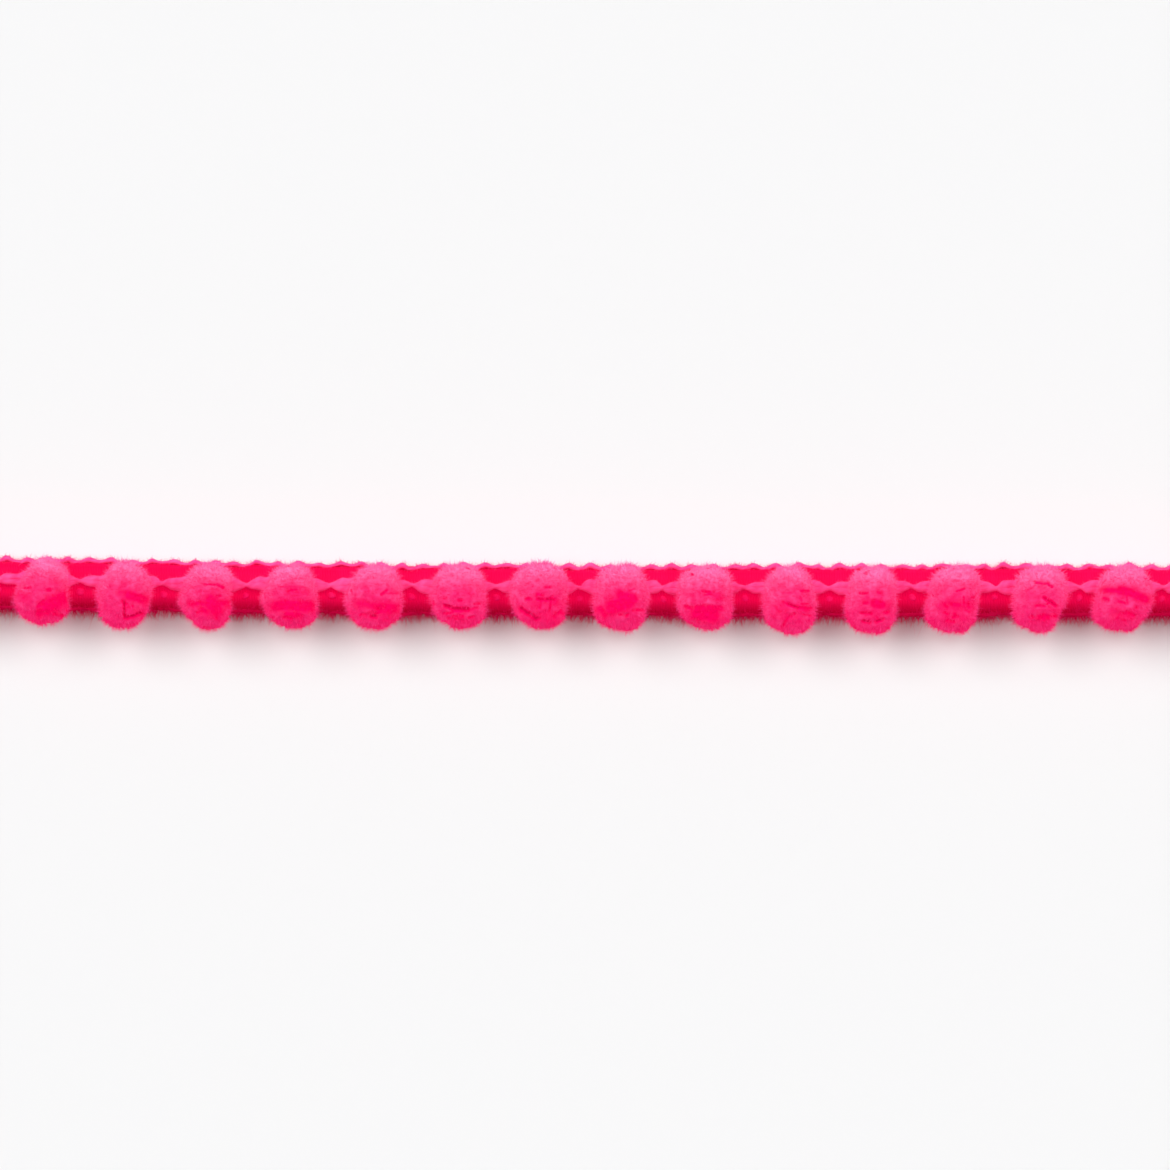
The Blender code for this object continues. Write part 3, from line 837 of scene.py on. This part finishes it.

# %% [markdown]
# ## The pompoms: clefts and hollows
# The cut pile is not an even ball. Where tufts part, a cleft shows deep pink, and where the pile stands
# more open a broad hollow shows. Those on the face are placed as the photograph shows them: each stroke
# runs between two points, counted from where the pompom is tied, with a half width and a depth. Paint alone
# would look the same from above, but flat from the side, so a stroke sinks the body, and its colour is also
# painted deeper there as painted shade.
# The other sides get clefts at random places.

# %% Strokes that sink the pile
Stroke = namedtuple("Stroke", "x0 y0 x1 y1 half_width depth")
STROKES = {
    1: ((0.9, -0.8, 1.3, -0.8, 0.25, 0.5), (0.9, -3.2, 3.0, -1.9, 0.85, 0.55),
        (-0.3, -4.0, 0.1, -3.9, 0.4, 0.6), (-3.0, -1.6, -1.9, -1.7, 0.4, 0.35),
        (1.6, -4.2, 2.6, -4.3, 0.25, 0.4), (1.4, 0.6, 2.6, 0.0, 0.5, 0.25)),
    2: ((-0.1, -2.2, -0.1, -4.4, 0.16, 0.9), (-0.6, -1.0, 0.6, -1.1, 0.5, 0.35),
        (0.6, -1.3, 2.5, -1.9, 0.55, 0.55), (0.2, -4.4, 2.2, -3.8, 0.2, 0.7),
        (1.0, -2.7, 1.1, -2.9, 0.2, 0.4), (1.2, -3.3, 1.9, -3.6, 0.6, 0.3)),
    3: ((-0.6, 0.5, 1.2, 0.5, 0.16, 0.4), (1.2, 0.5, 2.0, 0.0, 0.2, 0.45),
        (0.0, -1.4, 0.3, -1.4, 0.35, 0.6), (-2.6, -2.2, 2.2, -2.3, 0.32, 0.5),
        (-0.9, -3.0, -0.3, -3.3, 0.4, 0.5), (1.3, -3.0, 1.0, -4.2, 0.25, 0.35),
        (0.3, -2.1, 1.0, -2.9, 0.75, 0.6), (1.5, -2.2, 2.4, -2.2, 0.5, 0.5),
        (0.6, -0.4, 1.8, -0.2, 0.45, 0.3)),
    4: ((-2.2, -2.4, 2.4, -2.4, 0.58, 0.6), (-0.8, -3.5, 0.8, -3.5, 0.45, 0.5),
        (-0.6, -0.5, 1.9, -0.4, 0.42, 0.35), (-1.9, 0.25, 1.8, 0.25, 0.12, 0.3),
        (-2.4, -1.8, 1.0, -1.75, 0.1, 0.35), (0.3, 1.5, 2.0, 1.4, 0.12, 0.2)),
    5: ((-2.3, -1.9, 0.2, -2.3, 0.5, 0.45), (0.6, -2.6, 2.2, -2.6, 0.65, 0.55),
        (-0.6, -3.8, 0.0, -3.8, 0.22, 0.7), (1.0, -0.5, 3.0, -0.5, 0.18, 0.3),
        (1.2, -3.2, 1.9, -3.6, 0.35, 0.4), (-1.0, -3.3, 1.6, -3.5, 0.6, 0.35),
        (1.6, 0.0, 2.6, -0.4, 0.5, 0.25)),
    6: ((-2.0, -2.2, -0.8, -2.6, 0.24, 0.8), (-0.8, -2.6, 1.2, -2.7, 0.26, 0.9),
        (-0.1, -1.4, 0.3, -1.4, 0.2, 0.5), (2.1, -1.9, 2.8, -1.8, 0.16, 0.5),
        (1.2, -3.7, 2.0, -3.6, 0.16, 0.5), (1.6, 0.3, 1.7, -0.5, 0.3, 0.3),
        (-1.6, -3.9, 0.2, -3.9, 0.14, 0.35), (-2.1, -1.1, -1.9, -1.1, 0.2, 0.35),
        (0.8, 0.6, 1.6, -0.2, 0.6, 0.25), (-0.6, -3.6, 0.6, -3.7, 0.5, 0.3)),
    7: ((-2.4, -1.1, -1.8, -1.2, 0.25, 0.5), (-0.8, -1.2, 0.1, -1.3, 0.22, 0.6),
        (0.5, -1.25, 1.5, -1.3, 0.2, 0.7), (1.1, -1.4, 0.9, -3.0, 0.15, 0.5),
        (-0.3, -1.4, -0.5, -2.5, 0.18, 0.4), (0.4, 0.5, 1.0, 0.45, 0.18, 0.4),
        (-3.1, -2.4, -1.0, -4.0, 0.27, 0.6), (1.6, -3.7, 2.5, -2.8, 0.2, 0.5),
        (-1.2, -3.9, -0.6, -3.9, 0.2, 0.6), (-1.0, -1.6, 1.6, -1.7, 0.7, 0.35),
        (0.0, -3.4, 1.6, -3.4, 0.7, 0.35)),
    8: ((-1.9, -2.2, 0.2, -1.5, 0.78, 0.6), (-0.8, -0.6, 0.9, -1.1, 0.5, 0.6),
        (-1.0, -1.9, 0.3, -2.0, 0.4, 0.6), (-1.0, -3.3, -0.7, -3.3, 0.18, 0.5),
        (-0.1, -3.5, 0.2, -3.3, 0.18, 0.45), (0.9, -2.75, 1.4, -2.7, 0.16, 0.5),
        (-3.6, -2.3, -2.9, -3.3, 0.3, 0.5)),
    9: ((0.4, -0.7, 1.4, -0.9, 0.45, 0.35), (-1.8, -2.3, 1.4, -2.4, 0.3, 0.6),
        (-1.6, -3.1, 0.4, -3.3, 0.65, 0.65), (-3.3, -2.1, -2.6, -2.4, 0.25, 0.5),
        (-2.7, -0.6, -2.3, -0.6, 0.25, 0.25), (0.9, -1.1, 1.6, -1.1, 0.18, 0.35)),
    10: ((-1.6, -1.5, -0.6, -1.8, 0.2, 0.35), (-0.8, -1.8, 0.6, -2.3, 0.2, 0.65),
         (0.6, -2.3, 2.4, -2.4, 0.2, 0.45), (-0.5, -3.5, 0.0, -3.1, 0.2, 0.5),
         (0.9, -0.9, 1.1, -1.3, 0.22, 0.35), (-1.6, -0.2, -0.4, -0.2, 0.2, 0.25),
         (-0.9, -3.7, -1.5, -4.7, 0.18, 0.4), (-2.6, -2.2, -2.0, -2.9, 0.22, 0.3),
         (0.6, -2.2, 1.8, -2.4, 0.4, 0.45), (-1.8, -2.6, 0.6, -3.2, 0.8, 0.3),
         (0.6, 0.4, 1.6, -0.6, 0.6, 0.25)),
    11: ((-0.4, -1.7, 0.5, -1.9, 0.42, 0.7), (-1.9, -1.6, -1.5, -1.6, 0.25, 0.45),
         (-2.3, -3.0, -0.9, -3.1, 0.2, 0.55), (-2.0, -4.1, -1.1, -4.3, 0.2, 0.65),
         (-0.2, -4.2, 0.8, -3.8, 0.2, 0.6), (0.9, -3.0, 1.6, -2.9, 0.25, 0.4),
         (-1.8, -1.5, 1.4, -1.8, 0.6, 0.3), (-1.4, -3.1, 0.0, -3.2, 0.6, 0.3)),
    12: ((-1.4, -1.8, -0.3, -1.9, 0.28, 0.55), (0.3, -0.8, 0.4, -2.0, 0.16, 0.45),
         (1.0, -1.6, 1.1, -2.2, 0.2, 0.5), (-2.4, -1.7, -2.1, -2.4, 0.25, 0.4),
         (-1.0, -3.1, -0.6, -3.5, 0.22, 0.45), (-1.9, -4.0, -1.0, -4.2, 0.2, 0.4),
         (-1.0, 1.5, -0.2, 1.4, 0.18, 0.2), (0.5, -2.7, 1.2, -2.9, 0.15, 0.35),
         (-1.6, -2.0, 0.8, -2.0, 0.8, 0.4), (-1.4, -3.6, 0.4, -3.6, 0.7, 0.3)),
    13: ((-1.2, 1.2, 0.6, 1.1, 0.22, 0.35), (0.5, 1.0, 1.0, 0.7, 0.22, 0.45),
         (-0.1, -0.9, 1.0, -1.6, 0.26, 0.6), (1.0, -1.6, 1.5, -2.0, 0.26, 0.5),
         (-1.3, -2.0, -0.7, -2.0, 0.2, 0.4), (-0.8, -3.6, 0.4, -3.6, 0.34, 0.55),
         (-1.9, -3.5, -1.7, -3.5, 0.2, 0.55), (-1.4, 0.8, -2.6, 0.0, 0.14, 0.25),
         (-0.2, -2.0, 1.2, -2.6, 0.6, 0.25)),
    14: ((-3.2, 0.1, -1.2, 0.1, 0.35, 0.5), (-1.2, 0.1, 0.4, -0.2, 0.45, 0.6),
         (0.4, -0.3, 2.4, -1.1, 0.42, 0.6), (-0.3, -0.8, -0.2, -1.7, 0.18, 0.35),
         (-1.4, -1.4, -0.4, -1.7, 0.16, 0.45), (-0.3, -2.8, 0.8, -3.4, 0.22, 0.45),
         (-3.3, -1.0, -2.8, -1.2, 0.25, 0.4), (0.9, -2.2, 1.2, -2.3, 0.2, 0.35),
         (-1.2, -3.0, -1.6, -3.8, 0.16, 0.35), (-1.8, -3.2, 0.4, -3.4, 0.7, 0.35)),
}
HOLLOW_FROM = 0.28
HOLLOW_SPREAD, HOLLOW_POWER = 1.9, 2
CLEFT_SPREAD, CLEFT_POWER = 1.3, 2.2
OTHER_STROKES = 26
FACE_LINES = 4
FACE_FROM = 0.35
STROKE_SEED = 77


def face_lines(rng):
    """Fine partings on the lower half of the face, most of them across the pompom."""
    found = []
    for _ in range(FACE_LINES):
        x, y = rng.uniform(-2.6, 1.8), rng.uniform(-4.2, 0.2)
        run, turn = rng.uniform(0.4, 1.3), rng.gauss(0.0, 0.35)
        end_x, end_y = x + run * math.cos(turn), y + run * math.sin(turn)
        found.append(Stroke(x, y, end_x, end_y, rng.uniform(0.12, 0.20), rng.uniform(0.3, 0.5)))
    return found


def random_way(rng):
    """A direction at random, with all directions equally likely."""
    return Vector([rng.gauss(0, 1) for _ in range(3)]).normalized()


def random_arcs(rng, face_is_known):
    """Short clefts on the unit ball as (first point, second point, half width, depth)."""
    found = []
    while len(found) < OTHER_STROKES:
        start, step = random_way(rng), random_way(rng)
        end = (start + step * rng.uniform(0.08, 0.3)).normalized()
        width, depth = rng.uniform(0.03, 0.07), rng.uniform(0.3, 0.65)
        if not face_is_known or start.z < FACE_FROM:
            found.append((start, end, width, depth))
    return found


def sink_along(points, start, end, half_width, depth, power=CLEFT_POWER):
    """How far one stroke between two places sinks the pile at many points."""
    start, run = np.array(start), np.array(end) - np.array(start)
    share = np.clip((points - start) @ run / max(run @ run, 1e-9), 0.0, 1.0)
    away = np.linalg.norm(points - start - share[:, None] * run, axis=1)
    return depth * np.exp(-((away / half_width) ** power))


print("strokes on the face:", sum(len(rows) for rows in STROKES.values()))

# %% [markdown]
# ## The pompoms: their bodies
# The body under the pile is an icosphere. A UV sphere would crowd its faces at two poles, and an icosphere
# has faces of nearly one size all over. It is carried to the pompom's shape, drawn in by the length of the
# pile and sunk further in the clefts. Each vertex keeps three numbers for the nodes to come: how long the
# pile is there, how far it is sunk, and how much painted sheen it takes on the heading side and the flanks.

# %% Bodies
BODY_LEVEL = 6
PILE_LENGTH = 0.42
SHALLOW = 0.45
FULL_SINK = 0.58
CLEFT_PILE = 0.35
HOLLOW_DEPTH = 0.4
HOLLOW_SUNK = 0.72
WAVE_SIZE = 1.6
WAVE_DEPTH = 0.20
TUFT_SIZE = 0.6
TUFT_DEPTH = 0.16
TOP_SHEEN, TOP_SHEEN_POWER = 1.15, 2.2
FLANK_SHEEN, FLANK_SHEEN_POWER = 0.55, 3
FLANK_LEVEL, FLANK_RISE = 0.6, 0.8


def unevenness(point, number):
    """Broad waves and small tufts of the pile at one place."""
    offset = Vector((number * 7.3, 2.1, 0.4))
    wave = noise.noise(Vector(point) / WAVE_SIZE + offset) * WAVE_DEPTH
    return wave + noise.noise(Vector(point) / TUFT_SIZE + offset) * TUFT_DEPTH


def body_mesh(number, shape):
    """The closed body of one pompom, with the attributes pile_length, sunk and open, where open is a
    painted sheen.
    """
    rng = random.Random(STROKE_SEED + number)
    known = [Stroke(*row) for row in STROKES.get(number, ())]
    arcs = random_arcs(rng, bool(known))
    bm = bmesh.new()
    bmesh.ops.create_icosphere(bm, subdivisions=BODY_LEVEL, radius=1.0)
    mesh = bpy.data.meshes.new("body")
    bm.to_mesh(mesh)
    bm.free()
    units = np.empty(len(mesh.vertices) * 3)
    mesh.vertices.foreach_get("co", units)
    units = units.reshape(-1, 3)
    full = pile_points(units, shape)
    heart = np.array((0.0, middle_and_half(shape)[0], (shape.height + PILE_UNDERSIDE) / 2))
    clefts = [sink_along(units, *arc) for arc in arcs]
    hollows = [np.zeros(len(units))]
    on_face = full[:, 2] > heart[2]
    for row in known + face_lines(rng):
        ends = (row.x0, row.y0), (row.x1, row.y1)
        if row.half_width < HOLLOW_FROM:
            sink = sink_along(full[:, :2], *ends, row.half_width * CLEFT_SPREAD, row.depth)
            clefts.append(on_face * sink)
        else:
            spread = row.half_width * HOLLOW_SPREAD
            sink = sink_along(full[:, :2], *ends, spread, row.depth, HOLLOW_POWER)
            hollows.append(on_face * sink)
    cleft, hollow = np.max(clefts, axis=0), np.max(hollows, axis=0)
    sink = np.maximum(cleft, hollow * HOLLOW_DEPTH)
    rough = np.array([unevenness(point, number) for point in full])
    inward = heart - full
    inward /= np.linalg.norm(inward, axis=1)[:, None]
    placed = full + inward * (PILE_LENGTH + sink * SHALLOW + rough)[:, None]
    x_place = place_of(number)
    mesh.vertices.foreach_set("co", ((placed * MM) + (x_place, bend(x_place), 0.0)).ravel())
    cleft, hollow = np.minimum(1.0, cleft / FULL_SINK), np.minimum(1.0, hollow / FULL_SINK)
    sunk = np.maximum(cleft, HOLLOW_SUNK * hollow)
    # Painted sheen on the heading side and the flanks, stored as the attribute open.
    painted_sheen = np.maximum(0.0, units[:, 1] * TOP_SHEEN) ** TOP_SHEEN_POWER
    flank_sheen = FLANK_SHEEN * abs(units[:, 0]) ** FLANK_SHEEN_POWER
    flank_sheen = flank_sheen * np.maximum(0.0, FLANK_LEVEL + units[:, 1] * FLANK_RISE)
    attributes = {
        "pile_length": PILE_LENGTH * MM * (1.0 - (1.0 - CLEFT_PILE) * sunk),
        "sunk": sunk,
        "open": np.minimum(1.0, painted_sheen + flank_sheen),
    }
    for name, values in attributes.items():
        mesh.attributes.new(name, "FLOAT", "POINT").data.foreach_set("value", values)
    mesh.shade_smooth()
    return mesh


print("faces of a body:", 20 * 4 ** (BODY_LEVEL - 1))

# %% [markdown]
# ## The pompoms: their pile
# Thousands of cut fibres stand on the body. Blender's own hair would look the same in a picture, but it
# leaves no mesh to keep. So each fibre is a slim cone with three sides, and a whole pompom stays light.
# Points are spread over the body, and a cone is set on each along the surface's normal, leaning a little
# at random. Where the pile isn't sunk, one fibre in two is loose: thinner, longer and paler. Fibres that
# would reach below the table are laid down on it. The colours of the tips and of the sunk places travel
# with the fibres as attributes. The fibres also take most of the body's own normals, because soft pile is
# lit more evenly than single fibres would be.

# %% Helpers for the pile
LYING_LEVEL = 0.15 * MM


def random_value(tree, low, high, seed):
    values = {"Min": low, "Max": high, "Seed": seed}
    return tree.add("FunctionNodeRandomValue", {"data_type": "FLOAT"}, values)


def lying(tree, geometry):
    """Lays fibres that would reach below the table down on it."""
    x, y, z = place_parts(tree)
    above = z - LYING_LEVEL
    flattened = (above / LYING_LEVEL).math("MINIMUM", 0.0).math("EXPONENT") * LYING_LEVEL
    return moved_to(tree, geometry, vector(tree, x, y, flattened + above.math("MAXIMUM", 0.0)))


def cone_fibre(tree, radius):
    """One fibre as a slim cone, a unit long, with its own place from root to tip."""
    settings = {"fill_type": "NGON"}
    values = {"Vertices": 3, "Radius Top": 0.0, "Radius Bottom": radius, "Depth": 1.0}
    cone = tree.add("GeometryNodeMeshCone", settings, values)
    _, _, level = place_parts(tree)
    return stored(tree, cone, "tip", level)


def leaning(tree, normal, lean, seed):
    """How a fibre is turned: along the normal, leaning at random and turned round itself."""
    values = {"Min": (-1, -1, -1), "Max": (1, 1, 1), "Seed": seed}
    sideways = tree.add("FunctionNodeRandomValue", {"data_type": "FLOAT_VECTOR"}, values)
    sideways = scaled(tree, sideways, lean)
    way = tree.add("ShaderNodeVectorMath", {"operation": "ADD"}, {0: normal, 1: sideways})
    turned = tree.add("FunctionNodeAlignRotationToVector", {"axis": "Z"}, {"Vector": way})
    spin = vector(tree, z=random_value(tree, 0.0, 2 * math.pi, seed + 1))
    spin = tree.add("FunctionNodeEulerToRotation", values={"Euler": spin})
    values = {"Rotation": turned, "Rotate By": spin}
    return tree.add("FunctionNodeRotateRotation", {"rotation_space": "LOCAL"}, values)


print("pile helpers are ready")

# %% Pile
BODY_TIP = 0.35
SHORTEST_CUT, LONGEST_CUT = 0.8, 1.2
SHORTEST_LOOSE, LONGEST_LOOSE = 0.2, 1.25
LOOSE_SLIMMER = 0.5


def pile_growth():
    inputs = {"Float": "Per Area, Radius, Lean, Loose, Nap", "Int": "Seed", "Material": "Dye"}
    tree, given = new_growth("cut pile", inputs)
    seed = given["Seed"]
    values = {"Mesh": given["Geometry"], "Density": given["Per Area"], "Seed": seed}
    points = tree.add("GeometryNodeDistributePointsOnFaces", {"distribute_method": "RANDOM"}, values)
    normal = points.other("Normal")
    chance = random_value(tree, 0.0, 1.0, seed + 2)
    loose = chance.math("LESS_THAN", given["Loose"] * (1 - recalled(tree, "sunk")))
    rooted = stored(tree, stored(tree, points, "nap", normal, "FLOAT_VECTOR"), "loose", loose)
    extra = loose * random_value(tree, SHORTEST_LOOSE, LONGEST_LOOSE, seed + 4)
    cut = random_value(tree, SHORTEST_CUT, LONGEST_CUT, seed + 3)
    length = recalled(tree, "pile_length") * cut * (1 + extra)
    slim = 1 - loose * LOOSE_SLIMMER
    values = {
        "Points": rooted,
        "Instance": cone_fibre(tree, given["Radius"]),
        "Rotation": leaning(tree, normal, given["Lean"], seed),
        "Scale": vector(tree, slim, slim, length),
    }
    fibres = tree.add("GeometryNodeInstanceOnPoints", values=values)
    fibres = lying(tree, tree.add("GeometryNodeRealizeInstances", values={"Geometry": fibres}))
    own, nap = tree.add("GeometryNodeInputNormal"), recalled(tree, "nap", "FLOAT_VECTOR")
    values = {0: given["Nap"], 4: own, 5: nap}
    facing = tree.add("ShaderNodeMix", {"data_type": "VECTOR"}, values, output=1)
    values = {"Mesh": fibres, "Custom Normal": facing}
    fibres = tree.add("GeometryNodeSetMeshNormal", {"mode": "FREE", "domain": "POINT"}, values)
    body = stored(tree, given["Geometry"], "tip", BODY_TIP)
    return end_growth(tree, joined(tree, body, fibres), given["Dye"])


FIBRES_PER_MM2 = 24.0
FIBRE_RADIUS = 0.05 * MM
FIRST_SEED = 100
pile_tree = pile_growth()
pompoms = []
for number, shape in enumerate(POMPOMS):
    settings = {
        "Per Area": FIBRES_PER_MM2 / MM**2,
        "Radius": FIBRE_RADIUS,
        "Lean": 0.32,
        "Loose": 0.50,
        "Nap": 0.75,
        "Seed": FIRST_SEED + number * 10,
        "Dye": pile,
    }
    piece = grown(f"pompom_pile_{number + 1:02d}", pile_tree, settings, body_mesh(number, shape))
    pompoms.append(piece)
print("triangles of the first pompom:", triangles(pompoms[0]))

# %% [markdown]
# ## Stray fibres of the yarn
# Acrylic yarn is never smooth: short stray fibres stand off it and soften its edges. A see-through coat
# could blur the edges in a picture, but the mesh would stay bare. So the pile's own tree grows fibres on
# the yarns that swing, only thinner than the pile's. They are longest and closest together on the cord of
# the lower edge, which is soft on the photograph, and they mostly lie out sideways.

# %% Stray fibres
Fuzz = namedtuple("Fuzz", "length radius per_mm2")
FUZZ = {
    "heading_loops": Fuzz(0.55, 0.028, 34.0),
    "heading_cord": Fuzz(0.30, 0.022, 8.0),
    "lower_cord": Fuzz(1.65, 0.028, 108.0),
    "tie_yarn_over": Fuzz(0.40, 0.022, 12.0),
    "tie_yarn_under": Fuzz(0.40, 0.022, 12.0),
}
FUZZ_SEED = 900
FUZZ_LYING = 0.9
FUZZ_SHORTEST = 0.15
UPRIGHT_SHARE = 0.3


def with_fuzz(piece, fuzz, seed):
    """The same yarn with stray fibres on it, longest where they lie out sideways."""
    name, dye, bare = piece.name, piece.data.materials[0], piece.data
    mesh = bare.copy()
    bpy.data.objects.remove(piece)
    bpy.data.meshes.remove(bare)
    normals = np.empty(len(mesh.vertices) * 3)
    mesh.vertex_normals.foreach_get("vector", normals)
    _, sideways, upward = normals.reshape(-1, 3).T
    lengths = UPRIGHT_SHARE + (1 - UPRIGHT_SHARE) * abs(sideways)
    lengths *= np.clip(upward + FUZZ_LYING, FUZZ_SHORTEST, 1.0) * fuzz.length * MM
    mesh.attributes.new("pile_length", "FLOAT", "POINT").data.foreach_set("value", lengths)
    settings = {
        "Per Area": fuzz.per_mm2 / MM**2,
        "Radius": fuzz.radius * MM,
        "Lean": 0.8,
        "Loose": 0.03,
        "Nap": 0.6,
        "Seed": seed,
        "Dye": dye,
    }
    return grown(name, pile_tree, settings, mesh)


swings = [
    with_fuzz(piece, FUZZ[piece.name], FUZZ_SEED + number * 10)
    for number, piece in enumerate(swings)
]
print("triangles of the yarns with stray fibres:", sum(triangles(piece) for piece in swings))

# %% [markdown]
# ## Riding on the frame
# Every piece rides on the trim's one body. The yarn pieces stand for the band's solid together, and each
# pompom's pile stands for its own solid.

# %% Ride and replace
for piece in (wefts, core, *chains, *swings):
    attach(piece, "root")
    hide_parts("braid")
for number, piece in enumerate(pompoms):
    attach(piece, "root")
    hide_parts(f"pompom_{number + 1:02d}")
total = sum(triangles(piece) for piece in (wefts, core, *chains, *swings, *pompoms))
print("pieces:", 2 + len(chains) + len(swings) + len(pompoms), "triangles:", total)
